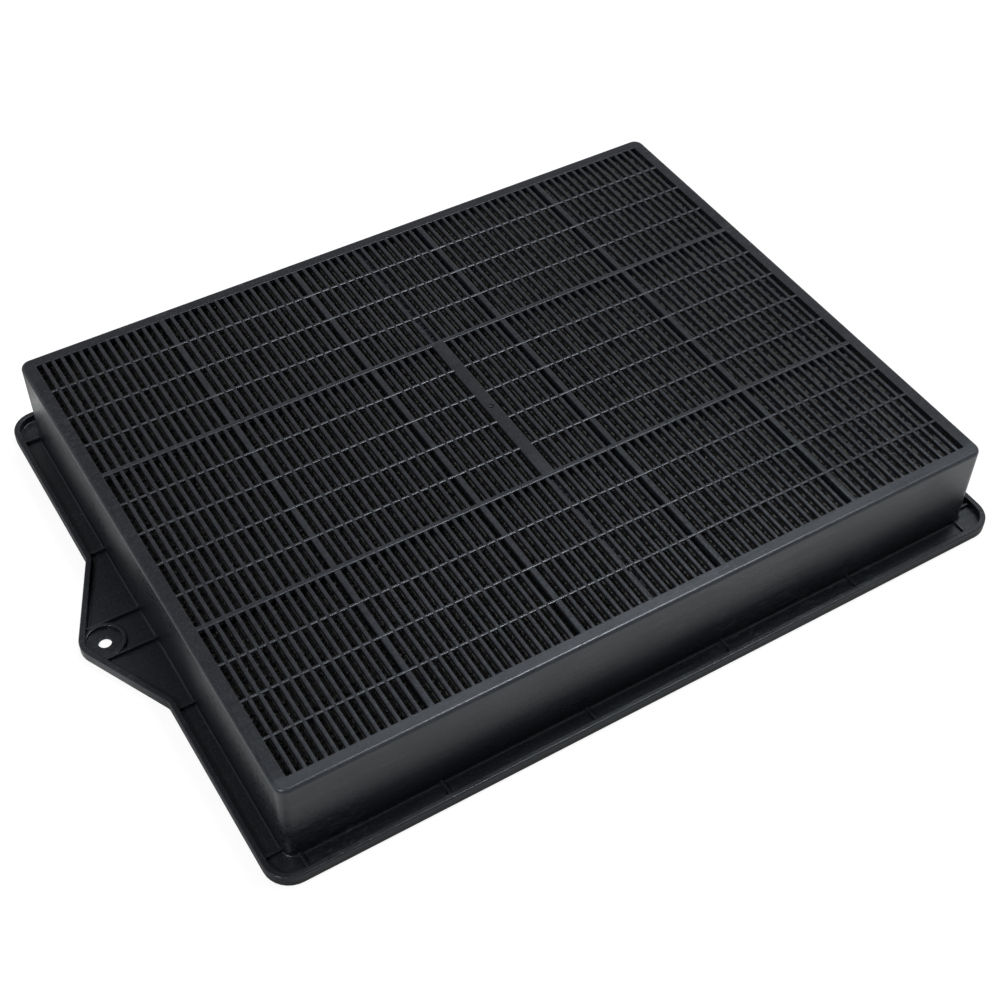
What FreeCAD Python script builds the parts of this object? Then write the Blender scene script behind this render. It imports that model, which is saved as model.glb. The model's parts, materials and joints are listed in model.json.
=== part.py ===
import FreeCAD, Part
import math
import os

# Cooker hood carbon filter: a flat black polypropylene cassette.
# A moulded box with a fine slotted grille on its face stands in a shallow channelled flange,
# and a slotted cover snaps into its open underside. Walls below the wide slats and thick bars
# split the box into compartments, each filled with loose carbon granules.
# The long side is X, the short side is Y, Z is up. The cassette lies on its flange,
# with the grille face up, and the origin is under the middle of its overall outline.

# Box
box_length = 382.0          # outside, along X
box_width = 298.0           # outside, along Y
height = 52.0               # flange underside to grille face
wall = 2.0
box_corner = 5.5            # upright corners, outside
face_edge = 1.8             # rounding between the grille face and the walls

# Grille face
rim = 7.0                   # plain border round the slots
slot_counts = (14, 15, 15, 15, 14)   # slots in each column, from the left
row_counts = (4, 5, 4)               # rows in each band, from the front
outer_column = 67.05        # from the rim to the nearest wide slat
slat_width = 2.0
wide_slat = 3.2             # slat between two columns
bar_width = 1.2             # cross bar between two rows
thick_bar = 2.8             # cross bar between two bands
thick_bar_reach = 53.9      # from the middle of the face to the middle of a thick bar
bar_depth = 0.5             # rim and cross bars, upper layer of the grille
slat_depth = 2.1            # slats, lower layer of the grille

# Compartments
partition = 1.6             # walls below the wide slats and thick bars
cross_partition_drop = 1.0  # from the slats to the top of the walls that cross them
bed_clearance = 0.3         # round each fill of granules

# Back cover
cover_thickness = 2.4
cover_recess = 1.0          # flange underside to cover underside
cover_clearance = 0.3       # round the cover's edge
cover_border = 8.0          # plain border round the cover's slots
cover_slots = 41
cover_slat_width = 3.4
lug_length = 12.0
lug_reach = 0.9             # from the wall, under the cover

# Flange
flange_reach_x = 11.5       # box wall to flange edge on the short sides, without the tab
flange_reach_y = 12.0       # box wall to flange edge on the long sides
flange_corner = 13.0
flange_floor = 2.0
lip_height = 6.0
lip_width = 3.0
lip_edge = 1.0              # bevel of the lip's outer top edge
rib_width = 1.5
rib_height = 1.7            # above the channel floor
end_rib_inset = 5.5         # from the outside of the box to the ribs near its corners

# Fixing tab on the left short side
tab_half_base = 50.0        # from the middle line to where the tab leaves the flange
tab_hole_reach = 11.0       # flange edge to hole centre
tab_nose = 11.8             # nose radius about the hole centre
tab_root = 6.0              # inside corner where the tab leaves the flange
hole_diameter = 6.5
ring_inner = 17.0           # diameters of the ring round the hole
ring_outer = 21.0
tab_rib_offset = 10.6       # from the middle line to each tab rib

# Worked out from the sizes above
flange_length = box_length + 2 * flange_reach_x
flange_width = box_width + 2 * flange_reach_y
tab_reach = tab_hole_reach + tab_nose
shift_x = tab_reach / 2     # puts the origin under the middle of the overall outline
cavity_length = box_length - 2 * wall
cavity_width = box_width - 2 * wall
cover_top = cover_recess + cover_thickness
slat_top = height - bar_depth
grille_underside = slat_top - slat_depth
field_length = box_length - 2 * rim
field_width = box_width - 2 * rim
hole_x = -flange_length / 2 - tab_hole_reach
OVERSHOOT = 5.0             # how far a cutting solid runs past the face that it opens


def vec(x, y, z=0.0):
    return FreeCAD.Vector(x, y, z)


def block(x0, x1, y0, y1, z0, z1):
    """Box between two opposite corners."""
    return Part.makeBox(x1 - x0, y1 - y0, z1 - z0, vec(x0, y0, z0))


def rounded_outline(corners, z=0.0):
    """Closed wire through (x, y, radius) corners, each rounded by an arc tangent to both sides."""
    edges = []
    ends = []
    count = len(corners)
    for i, (x, y, radius) in enumerate(corners):
        here = vec(x, y, z)
        before = vec(corners[i - 1][0], corners[i - 1][1], z) - here
        after = vec(corners[(i + 1) % count][0], corners[(i + 1) % count][1], z) - here
        before.normalize()
        after.normalize()
        half = before.getAngle(after) / 2
        inward = before + after
        inward.normalize()
        start = here + before * (radius / math.tan(half))
        end = here + after * (radius / math.tan(half))
        middle = here + inward * (radius / math.sin(half) - radius)
        ends.append((start, middle, end))
    for i, (start, middle, end) in enumerate(ends):
        edges.append(Part.LineSegment(ends[i - 1][2], start).toShape())
        edges.append(Part.Arc(start, middle, end).toShape())
    return Part.Wire(edges)


def rounded_rectangle(length, width, radius):
    return rounded_outline([
        (length / 2, -width / 2, radius),
        (length / 2, width / 2, radius),
        (-length / 2, width / 2, radius),
        (-length / 2, -width / 2, radius),
    ])


def prism(wire, z0, z1):
    face = Part.Face(wire)
    face.translate(vec(0, 0, z0))
    return face.extrude(vec(0, 0, z1 - z0))


def box_body():
    """Outer form of the box. Its top edge is rounded in two steps."""
    step = face_edge * (1 - math.sqrt(0.5))
    sections = [(0.0, 0.0), (0.0, height - face_edge), (step, height - step), (face_edge, height)]
    wires = []
    for inset, z in sections:
        wire = rounded_rectangle(box_length - 2 * inset, box_width - 2 * inset, box_corner - inset)
        wire.translate(vec(0, 0, z))
        wires.append(wire)
    return Part.makeLoft(wires, True, True)


def top_edges(solid, z):
    return [e for e in solid.Edges if all(abs(v.Z - z) < 1e-6 for v in e.Vertexes)]


def spans(start, lengths, gaps):
    """(low, high) of each length laid end to end from start, with a gap after each."""
    result = []
    at = start
    for length, gap in zip(lengths, list(gaps) + [0.0]):
        result.append((at, at + length))
        at += length + gap
    return result


def column_spans():
    """X span of each column of slots between the rim and the wide slats."""
    inner_count = len(slot_counts) - 2
    between = field_length - 2 * outer_column - (inner_count + 1) * wide_slat
    lengths = [outer_column] + [between / inner_count] * inner_count + [outer_column]
    return spans(-field_length / 2, lengths, [wide_slat] * (inner_count + 1))


def slot_spans():
    """X span of every slot, one list per column."""
    result = []
    for (low, high), count in zip(column_spans(), slot_counts):
        width = (high - low - (count - 1) * slat_width) / count
        result.append(spans(low, [width] * count, [slat_width] * (count - 1)))
    return result


def band_spans():
    """Y span of each band of rows between the rim and the thick bars."""
    edge = field_width / 2
    inner = thick_bar_reach - thick_bar / 2
    outer = thick_bar_reach + thick_bar / 2
    return [(-edge, -outer), (-inner, inner), (outer, edge)]


def row_spans():
    """Y span of every row, one list per band."""
    result = []
    for (low, high), count in zip(band_spans(), row_counts):
        length = (high - low - (count - 1) * bar_width) / count
        result.append(spans(low, [length] * count, [bar_width] * (count - 1)))
    return result


def is_middle(low, high):
    return low < 0.0 < high


def column_lines():
    """X of the middle of each wide slat."""
    columns = column_spans()
    return [(a[1] + b[0]) / 2 for a, b in zip(columns, columns[1:])]


def partition_lines():
    """X of every partition that runs along Y: below the wide slats and on the middle line."""
    return sorted(column_lines() + [0.0])


def band_lines():
    return [-thick_bar_reach, thick_bar_reach]


def slot_cutters(z0, z1):
    """One long cutter per slot. The middle slot stops at the middle band, which has a solid bar."""
    edge = field_width / 2
    lower, middle, upper = band_spans()
    cutters = []
    for column in slot_spans():
        for slot in column:
            runs = [lower, upper] if is_middle(*slot) else [(-edge, edge)]
            cutters += [block(*slot, *run, z0, z1) for run in runs]
    return cutters


def row_cutters(z0, z1):
    """One cutter per row, over all the slats. The middle bar parts the rows of the middle band."""
    edge = field_length / 2
    middle_slot = [s for column in slot_spans() for s in column if is_middle(*s)][0]
    bar = (middle_slot[0] - slat_width, middle_slot[1] + slat_width)
    cutters = []
    for band, rows in zip(band_spans(), row_spans()):
        runs = [(-edge, bar[0]), (bar[1], edge)] if is_middle(*band) else [(-edge, edge)]
        cutters += [block(*run, *row, z0, z1) for run in runs for row in rows]
    return cutters


def compartments(clearance=0.0):
    """(x0, x1, y0, y1) of every compartment, drawn in by a clearance."""
    half = partition / 2
    xs = [-cavity_length / 2 - half] + partition_lines() + [cavity_length / 2 + half]
    ys = [-cavity_width / 2 - half] + band_lines() + [cavity_width / 2 + half]
    inset = half + clearance
    return [
        [(x0 + inset, x1 - inset, y0 + inset, y1 - inset) for x0, x1 in zip(xs, xs[1:])]
        for y0, y1 in zip(ys, ys[1:])
    ]


def cross_partition_gaps():
    """Room between the slats and the partitions that cross them."""
    half_y = partition / 2 + OVERSHOOT
    top = grille_underside
    return [block(x0, x1, y - half_y, y + half_y, top - cross_partition_drop, top)
            for x0, x1, _, _ in compartments()[0] for y in band_lines()]


def cover_seat():
    half_x = cavity_length / 2
    half_y = cavity_width / 2
    return block(-half_x, half_x, -half_y, half_y, -OVERSHOOT, cover_top)


def box_shell():
    """Walls, partitions and slotted face, as one solid, open underneath."""
    cutters = [block(*pocket, cover_top - OVERSHOOT, grille_underside)
               for line in compartments() for pocket in line]
    solid = box_body().cut(cutters + cross_partition_gaps())
    solid = solid.cut(cover_seat())
    solid = solid.cut(slot_cutters(grille_underside, slat_top))
    return solid.cut(row_cutters(slat_top, height + OVERSHOOT))


def tab_apex():
    """Flange edge to the point where the tab's two straight sides would meet.

    Each side runs from the tab's base and is tangent to the nose circle."""
    base = tab_half_base ** 2
    nose = tab_nose ** 2
    reach = tab_hole_reach
    root = math.sqrt((reach * base) ** 2 - (base - nose) * (reach ** 2 - nose) * base)
    return (reach * base + root) / (base - nose)


def flange_outline():
    half_x = flange_length / 2
    half_y = flange_width / 2
    return rounded_outline([
        (half_x, -half_y, flange_corner),
        (half_x, half_y, flange_corner),
        (-half_x, half_y, flange_corner),
        (-half_x, tab_half_base, tab_root),
        (-half_x - tab_apex(), 0.0, tab_nose),
        (-half_x, -tab_half_base, tab_root),
        (-half_x, -half_y, flange_corner),
    ])


def flange():
    """Channel floor with its raised lip, round the box and out over the tab."""
    outline = flange_outline()
    solid = prism(outline, 0.0, lip_height)
    solid = solid.makeChamfer(lip_edge, top_edges(solid, lip_height))
    inside = outline.makeOffset2D(-lip_width)
    solid = solid.cut(prism(inside, flange_floor, lip_height + OVERSHOOT))
    return solid.cut(block(-cavity_length / 2, cavity_length / 2, -cavity_width / 2,
                           cavity_width / 2, -OVERSHOOT, lip_height))


def channel_ribs():
    """Low ribs across the channel: in line with the wide slats, the thick bars and the ends."""
    half = rib_width / 2
    top = flange_floor + rib_height
    box_x = box_length / 2
    box_y = box_width / 2
    lip_x = (flange_length - lip_width) / 2
    lip_y = (flange_width - lip_width) / 2
    ribs = []
    for x in column_lines() + [-box_x + end_rib_inset, box_x - end_rib_inset]:
        ribs.append(block(x - half, x + half, box_y - wall / 2, lip_y, 0.0, top))
        ribs.append(block(x - half, x + half, -lip_y, -box_y + wall / 2, 0.0, top))
    for y in band_lines() + [-box_y + end_rib_inset, box_y - end_rib_inset]:
        ribs.append(block(box_x - wall / 2, lip_x, y - half, y + half, 0.0, top))
        ribs.append(block(-lip_x, -box_x + wall / 2, y - half, y + half, 0.0, top))
    return ribs


def tab_ribs():
    """Two ribs from the box wall out to the lip of the tab, one each side of the ring."""
    half = rib_width / 2
    top = flange_floor + rib_height
    inside = prism(flange_outline().makeOffset2D(-lip_width / 2), 0.0, top)
    ribs = []
    for y in (-tab_rib_offset, tab_rib_offset):
        rib = block(hole_x - tab_nose, -box_length / 2 + wall / 2, y - half, y + half, 0.0, top)
        ribs.append(rib.common(inside))
    return ribs


def tab_ring():
    """Raised ring round the fixing hole."""
    top = flange_floor + rib_height
    outer = Part.makeCylinder(ring_outer / 2, top, vec(hole_x, 0, 0))
    inner = Part.makeCylinder(ring_inner / 2, top, vec(hole_x, 0, flange_floor))
    return outer.cut(inner)


def snap_lug(span_along_x, at, side):
    """Wedge on the inside of a wall. Its flat top holds the cover up, its slope lets it pass."""
    low = -lug_length / 2
    if span_along_x:
        wall_face = side * cavity_width / 2
        tip = wall_face - side * lug_reach
        points = [vec(at + low, wall_face, 0), vec(at + low, wall_face, cover_recess),
                  vec(at + low, tip, cover_recess)]
        along = vec(lug_length, 0, 0)
    else:
        wall_face = side * cavity_length / 2
        tip = wall_face - side * lug_reach
        points = [vec(wall_face, at + low, 0), vec(wall_face, at + low, cover_recess),
                  vec(tip, at + low, cover_recess)]
        along = vec(0, lug_length, 0)
    return Part.Face(Part.makePolygon(points + points[:1])).extrude(along)


def snap_lugs():
    lugs = [snap_lug(True, x, side) for x in column_lines() for side in (-1, 1)]
    return lugs + [snap_lug(False, y, side) for y in band_lines() for side in (-1, 1)]


def housing():
    """The moulded cassette: box, flange, tab, ribs and snap lugs in one piece."""
    solid = box_shell().fuse([flange()] + channel_ribs() + tab_ribs() + [tab_ring()] + snap_lugs())
    hole = Part.makeCylinder(hole_diameter / 2, lip_height, vec(hole_x, 0, -1.0))
    return solid.cut(hole).removeSplitter()


def back_cover():
    """Slotted cover that snaps in under the partitions. Its slats run across them."""
    half_x = cavity_length / 2 - cover_clearance
    half_y = cavity_width / 2 - cover_clearance
    plate = block(-half_x, half_x, -half_y, half_y, cover_recess, cover_top)
    reach = half_x - cover_border
    low = -half_y + cover_border
    slot = (-2 * low - (cover_slots - 1) * cover_slat_width) / cover_slots
    rows = spans(low, [slot] * cover_slots, [cover_slat_width] * (cover_slots - 1))
    return plate.cut([block(-reach, reach, *row, 0.0, cover_top + OVERSHOOT) for row in rows])


def carbon_beds():
    """One fill of granules per compartment, named by row from the front and place from the left."""
    beds = {}
    for row, line in enumerate(compartments(bed_clearance), start=1):
        for place, span in enumerate(line, start=1):
            solid = block(*span, cover_top + bed_clearance, grille_underside - bed_clearance)
            beds[f"carbon_bed_{row}_{place}"] = solid
    return beds


def save(name, shape):
    solids = shape.Solids
    if len(solids) != 1 or not shape.isValid():
        raise ValueError(f"{name}: {len(solids)} solids, valid {shape.isValid()}")
    solid = solids[0].copy()
    solid.translate(vec(shift_x, 0, 0))
    solid.exportStep(f"parts/{name}.step")
    print(f"{name}: {solid.Volume / 1000:.1f} cm3, {len(solid.Faces)} faces")


os.makedirs("parts", exist_ok=True)
save("housing", housing())
save("back_cover", back_cover())
for bed_name, bed in carbon_beds().items():
    save(bed_name, bed)
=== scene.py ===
# %% [markdown]
# # Cooker hood carbon filter: looks
#
# The real object is a flat black cassette: one moulding with a slotted face, a slotted cover
# below, and 18 compartments full of carbon granules between them. The imported CAD model comes in
# first, as a fixed frame of named nodes. This script gives the moulding its fine forms, fills
# the compartments with loose granules, gives each surface its material, and sets up the light
# and the camera. Nodes edited by hand in Blender would be lost on the next run, so every form
# here is worked out from named sizes instead. They are in millimetres until a mesh is made.

import json
import math

import bmesh
import bpy
import numpy as np
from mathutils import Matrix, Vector

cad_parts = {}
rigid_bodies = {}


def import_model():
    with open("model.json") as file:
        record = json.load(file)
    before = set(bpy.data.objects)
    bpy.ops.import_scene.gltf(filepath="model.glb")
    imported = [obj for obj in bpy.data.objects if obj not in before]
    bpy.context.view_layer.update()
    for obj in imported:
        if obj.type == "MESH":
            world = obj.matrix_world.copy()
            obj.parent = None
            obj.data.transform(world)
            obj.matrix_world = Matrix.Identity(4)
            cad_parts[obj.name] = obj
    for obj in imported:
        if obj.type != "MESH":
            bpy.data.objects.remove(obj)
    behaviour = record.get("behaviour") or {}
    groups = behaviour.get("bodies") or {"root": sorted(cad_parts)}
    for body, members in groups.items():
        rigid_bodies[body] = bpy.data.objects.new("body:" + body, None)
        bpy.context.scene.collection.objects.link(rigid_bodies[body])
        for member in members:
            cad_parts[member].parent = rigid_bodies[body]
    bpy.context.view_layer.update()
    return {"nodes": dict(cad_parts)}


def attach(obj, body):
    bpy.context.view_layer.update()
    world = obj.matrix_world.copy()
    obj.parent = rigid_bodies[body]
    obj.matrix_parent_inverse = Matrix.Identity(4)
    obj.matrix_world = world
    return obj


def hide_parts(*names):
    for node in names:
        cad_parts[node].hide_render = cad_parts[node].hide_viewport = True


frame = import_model()

# %% [markdown]
# ## Sizes
# The box, its slotted face and its inner walls have the same named sizes as the solids. Reading
# them off the loaded mesh would work too, but a name says what a size is, and a form that is
# worked out from names stays in line with the solid it dresses. X runs along the long side away
# from the fixing tab, and the middle of the box stands a little off the middle of the whole,
# because the tab adds to one end only.

# %% Sizes shared by many pieces
MM = 0.001
BOX_LENGTH, BOX_WIDTH, HEIGHT = 382.0, 298.0, 52.0
WALL = 2.0
RIM = 7.0
GRILLE_UNDERSIDE = 49.4
COVER_TOP = 3.4
FLANGE_LENGTH, FLANGE_WIDTH = 405.0, 322.0
FLANGE_FLOOR = 2.0
TAB_HOLE_REACH, TAB_NOSE = 11.0, 11.8
SHIFT_X = (TAB_HOLE_REACH + TAB_NOSE) / 2
half_x, half_y = FLANGE_LENGTH / 2, FLANGE_WIDTH / 2
box_x, box_y = BOX_LENGTH / 2, BOX_WIDTH / 2
inside_x, inside_y = box_x - WALL, box_y - WALL
rng = np.random.default_rng(7)
print(f"box {BOX_LENGTH} x {BOX_WIDTH} x {HEIGHT} mm, its middle at x = {SHIFT_X:.1f} mm")

# %% [markdown]
# ## Shells
# In the real moulding the slats, bars, ribs and walls all run into each other. They could be
# fused with boolean modifiers, but that is slow and leaves ragged shading round 944 openings.
# So each form is a shell: one closed surface that overlaps its neighbours inside the plastic,
# where nobody sees it. A shell holds its points, its faces in groups of equally many corners,
# and for each point how much the edge there gets rubbed in use, which the material reads later.


# %% Strips between rings, and prisms
def strips(rings):
    """Quads that join each point of a ring to its neighbour and to the next ring."""
    count, size = rings.shape[:2]
    index = np.arange(count * size).reshape(count, size)
    ahead = np.roll(index, -1, axis=1)
    quads = np.stack([index[:-1], ahead[:-1], ahead[1:], index[1:]], axis=-1)
    return quads.reshape(-1, 4)


def prism_shell(outline, worn, start, end, axis):
    """An outline of (across, z) points, copied to two places on the X or Y axis and closed."""
    size = len(outline)
    rings = np.empty((2, size, 3))
    rings[:, :, 1 - axis] = outline[:, 0]
    rings[:, :, 2] = outline[:, 1]
    rings[:, :, axis] = np.array([[start], [end]])
    ends = np.array([np.arange(size)[::-1], np.arange(size, 2 * size)])
    return rings.reshape(-1, 3), [strips(rings), ends], np.tile(worn, 2)


test_prism = prism_shell(np.array([[0, 0], [1, 0], [1, 1], [0, 1]]), np.zeros(4), 0, 1, 0)
print("a prism over a square has", sum(len(group) for group in test_prism[1]), "faces")


# %% From shells to an object
def join(shells):
    """Points, polygons and wear of all shells, with corner numbers moved past those before."""
    starts = np.cumsum([0] + [len(points) for points, _, _ in shells])
    polygons = [polygon for (_, groups, _), start in zip(shells, starts)
                for group in groups for polygon in (group + start).tolist()]
    points = np.concatenate([points for points, _, _ in shells])
    worn = np.concatenate([rubbed for _, _, rubbed in shells])
    return points, polygons, worn


def mesh_object(name, points, polygons, attribute, values, material):
    """An object at the origin. Its mesh is the points in millimetres about the middle of the
    box, moved by the shift and scaled to metres. Faces are turned outward, and the attribute
    gives each point one value for the material."""
    mesh = bpy.data.meshes.new(name)
    placed = (points + np.array([SHIFT_X, 0.0, 0.0])) * MM
    mesh.from_pydata(placed.tolist(), [], polygons)
    layer = mesh.attributes.new(attribute, "FLOAT", "POINT")
    layer.data.foreach_set("value", values.astype(np.float32))
    work = bmesh.new()
    work.from_mesh(mesh)
    bmesh.ops.recalc_face_normals(work, faces=work.faces)
    work.to_mesh(mesh)
    work.free()
    mesh.materials.append(material)
    piece = bpy.data.objects.new(name, mesh)
    bpy.context.scene.collection.objects.link(piece)
    return piece


print("two prisms joined have", len(join([test_prism, test_prism])[0]), "points")

# %% [markdown]
# ## Outlines
# Seen from above, the box, the flange and the tab are straight sides with rounded corners. A
# curve object or a bevelled rectangle could give them, but the flange needs the same outline
# again and again, each time drawn in a little as its edge rounds over. An outline is therefore
# a run of corners, each rounded by an arc tangent to both its sides. Drawing it in keeps the
# arcs' centres and only changes their radii, so all rings have the same points in step.


# %% Rounded corners drawn in by an inset
def corner_arcs(corners):
    """Centre, first angle, turn and radius of the arc that rounds each (x, y, radius) corner.

    With h half the angle between the two sides, the centre lies radius / sin h from the corner
    along the bisector, and the arc starts radius / tan h from it along the side before.
    """
    corners = np.array(corners)
    here, radius = corners[:, :2], corners[:, 2:]
    before = np.roll(here, 1, axis=0) - here
    after = np.roll(here, -1, axis=0) - here
    before /= np.linalg.norm(before, axis=1, keepdims=True)
    after /= np.linalg.norm(after, axis=1, keepdims=True)
    half = np.arccos(np.sum(before * after, axis=1, keepdims=True)) / 2
    inward = (before + after) / np.linalg.norm(before + after, axis=1, keepdims=True)
    centre = here + inward * radius / np.sin(half)
    start = here + before * radius / np.tan(half) - centre
    left_turn = before[:, 0] * after[:, 1] - before[:, 1] * after[:, 0] < 0
    turn = (math.pi - 2 * half[:, 0]) * np.where(left_turn, 1, -1)
    return centre, np.arctan2(start[:, 1], start[:, 0]), turn, radius[:, 0]


def outline_ring(arcs, inset, z, steps=8):
    """Points of all arcs at height z. The inset comes off the radius of an arc that turns left
    and is added to the radius of one that turns right."""
    centre, first, turn, radius = arcs
    angles = first[:, None] + turn[:, None] * np.linspace(0, 1, steps + 1)
    reach = (radius - inset * np.sign(turn))[:, None, None]
    points = centre[:, None] + reach * np.stack([np.cos(angles), np.sin(angles)], axis=-1)
    points = points.reshape(-1, 2)
    return np.column_stack([points, np.full(len(points), z)])


def rectangle_ring(length, width, radius, z, steps=8):
    """A rectangle about the middle of the box, its four corners rounded, at height z."""
    x, y = length / 2, width / 2
    corners = [(x, -y, radius), (x, y, radius), (-x, y, radius), (-x, -y, radius)]
    return outline_ring(corner_arcs(corners), 0.0, z, steps)


def circle_ring(x, y, radius, z, steps=40):
    """Points at (x + radius cos a, y + radius sin a) for equal steps of a, at height z."""
    angles = np.linspace(0, 2 * math.pi, steps, endpoint=False)
    return np.column_stack([x + radius * np.cos(angles), y + radius * np.sin(angles),
                            np.full(steps, z)])


def quarter(steps):
    """(sine, one minus cosine) pairs round a quarter turn, for a rounding in a profile."""
    angles = np.linspace(0, math.pi / 2, steps + 1)
    return [(math.sin(a), 1 - math.cos(a)) for a in angles]


print("a rounded rectangle has", len(rectangle_ring(10, 6, 1, 0)), "points")


# %% A closed surface from stacks of rings
def filled_shell(stacks, levels):
    """One closed shell. Each stack of rings gives strips of quads, and at each level the flat
    area between the open ends of the stacks is filled with triangles."""
    points = np.concatenate([rings.reshape(-1, 3) for rings, _ in stacks])
    worn = np.concatenate([np.repeat(wear, rings.shape[1]) for rings, wear in stacks])
    starts = np.cumsum([0] + [rings.shape[0] * rings.shape[1] for rings, _ in stacks])
    quads = np.concatenate([strips(rings) + start for (rings, _), start in zip(stacks, starts)])
    open_mesh = bpy.data.meshes.new("open_shell")
    open_mesh.from_pydata(points.tolist(), [], quads.tolist())
    work = bmesh.new()
    work.from_mesh(open_mesh)
    for level in levels:
        rim = [edge for edge in work.edges if edge.is_boundary
               and all(abs(v.co.z - level) < 1e-5 for v in edge.verts)]
        bmesh.ops.triangle_fill(work, use_beauty=True, use_dissolve=False, edges=rim)
    triangles = [[v.index for v in face.verts] for face in work.faces if len(face.verts) == 3]
    work.free()
    bpy.data.meshes.remove(open_mesh)
    return points, [quads, np.array(triangles)], worn


test_tube = np.array([circle_ring(0, 0, 1, z) for z in (0, 1)])
test_can = filled_shell([(test_tube, [0, 0])], (0, 1))
print("a closed can has", len(test_can[1][0]), "quads and", len(test_can[1][1]), "triangles")

# %% [markdown]
# ## Box
# The box is a plain tub turned upside down, and in the photo it is its small forms that look
# moulded: the face's outer edge is well rounded and rubbed, and the walls stand on the flange
# with a small fillet. A bevel modifier would round every edge alike, so the profile is written
# out instead, from the foot outside, up the wall, over the edge, across the rim and down the
# inside. It is a list of (inset, height, wear) steps carried round the rectangle. A short lead
# next to each rounding keeps the flat beside it flat when it is shaded smooth.

# %% Profile of the box
LEAD = 0.06
BOX_CORNER, FACE_EDGE, LEAST_CORNER = 5.5, 1.8, 0.3
FOOT_FILLET = 1.2
RIM_EDGE, RIM_EDGE_END = 0.3, 0.4
box_profile = [(-FOOT_FILLET - LEAD, FLANGE_FLOOR, 0.0), (-FOOT_FILLET, FLANGE_FLOOR, 0.0)]
box_profile += [(-FOOT_FILLET * (1 - s), FLANGE_FLOOR + FOOT_FILLET * c, 0.0)
                for s, c in quarter(5)[1:]]
box_profile += [(0.0, FLANGE_FLOOR + FOOT_FILLET + LEAD, 0.0), (0.0, HEIGHT / 2, 0.0),
                (0.0, HEIGHT - FACE_EDGE - LEAD, 0.0)]
box_profile += [(FACE_EDGE * c, HEIGHT - FACE_EDGE * (1 - s), min(1.0, 4 * c * s) if s < 1 else 0.0)
                for s, c in quarter(8)]
box_profile += [(FACE_EDGE + LEAD, HEIGHT, 0.0), (RIM - RIM_EDGE - LEAD, HEIGHT, 0.0)]
box_profile += [(RIM - RIM_EDGE * (1 - s), HEIGHT - RIM_EDGE * c, 0.5) for s, c in quarter(3)]
box_profile += [(RIM, HEIGHT - RIM_EDGE_END, 0.0), (RIM, GRILLE_UNDERSIDE, 0.0),
                (WALL, GRILLE_UNDERSIDE, 0.0), (WALL, COVER_TOP, 0.0), (WALL, 0.0, 0.0)]
box_rings = np.array([rectangle_ring(BOX_LENGTH - 2 * inset, BOX_WIDTH - 2 * inset,
                                     max(BOX_CORNER - inset, LEAST_CORNER), z)
                      for inset, z, _ in box_profile])
print("box:", len(box_rings), "rings of", box_rings.shape[1], "points")

# %% [markdown]
# ## Flange and tab
# Round the foot of the box runs a channelled flange with a raised lip, and on one short side it
# widens into a tab with the fixing hole. On the real part the lip follows the tab without a
# break. Two separate shapes would need a blend where they meet, so flange and tab share one
# outline of seven corners. The tab's nose is the corner where its two straight sides would
# meet, rounded about the hole, and its roots are two corners that turn the other way.


# %% Outline of the flange with its tab
def tab_apex():
    """Flange edge to the point where the tab's two straight sides would meet.

    The sides touch a circle about the hole and pass through the tab's base. That makes a
    quadratic for the reach of the apex, and this is its larger root.
    """
    base, nose, reach = TAB_HALF_BASE ** 2, TAB_NOSE ** 2, TAB_HOLE_REACH
    root = math.sqrt((reach * base) ** 2 - (base - nose) * (reach ** 2 - nose) * base)
    return (reach * base + root) / (base - nose)


FLANGE_CORNER, TAB_HALF_BASE, TAB_ROOT = 13.0, 50.0, 6.0
flange_arcs = corner_arcs([
    (half_x, -half_y, FLANGE_CORNER),
    (half_x, half_y, FLANGE_CORNER),
    (-half_x, half_y, FLANGE_CORNER),
    (-half_x, TAB_HALF_BASE, TAB_ROOT),
    (-half_x - tab_apex(), 0.0, TAB_NOSE),
    (-half_x, -TAB_HALF_BASE, TAB_ROOT),
    (-half_x, -half_y, FLANGE_CORNER),
])
print(f"the tab's sides would meet {tab_apex():.1f} mm past the flange")

# %% Profile of the flange, from under its edge over the lip to the floor
LIP_HEIGHT, LIP_WIDTH, LIP_EDGE = 6.0, 3.0, 0.75
UNDER_EDGE, INNER_EDGE, LIP_FOOT = 0.3, 0.4, 0.5
flange_profile = [(UNDER_EDGE, 0.0, 0.0)]
flange_profile += [(UNDER_EDGE * (1 - s), UNDER_EDGE * c, 0.0) for s, c in quarter(3)[1:]]
flange_profile += [(0.0, LIP_HEIGHT - LIP_EDGE - LEAD, 0.0)]
flange_profile += [(LIP_EDGE * c, LIP_HEIGHT - LIP_EDGE * (1 - s), 0.5 if 0 < s < 1 else 0.0)
                   for s, c in quarter(6)]
flange_profile += [(LIP_EDGE + LEAD, LIP_HEIGHT, 0.0),
                   (LIP_WIDTH - INNER_EDGE - LEAD, LIP_HEIGHT, 0.0)]
flange_profile += [(LIP_WIDTH - INNER_EDGE * (1 - s), LIP_HEIGHT - INNER_EDGE * c, 0.4)
                   for s, c in quarter(4)]
flange_profile += [(LIP_WIDTH, LIP_HEIGHT - INNER_EDGE - LEAD, 0.0),
                   (LIP_WIDTH, FLANGE_FLOOR + LIP_FOOT, 0.0)]
flange_profile += [(LIP_WIDTH + LIP_FOOT * c, FLANGE_FLOOR + LIP_FOOT * (1 - s), 0.0)
                   for s, c in quarter(4)[1:]]
flange_profile += [(LIP_WIDTH + LIP_FOOT + LEAD, FLANGE_FLOOR, 0.0)]
flange_rings = np.array([outline_ring(flange_arcs, inset, z) for inset, z, _ in flange_profile])
print("flange:", len(flange_rings), "rings of", flange_rings.shape[1], "points")

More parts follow.
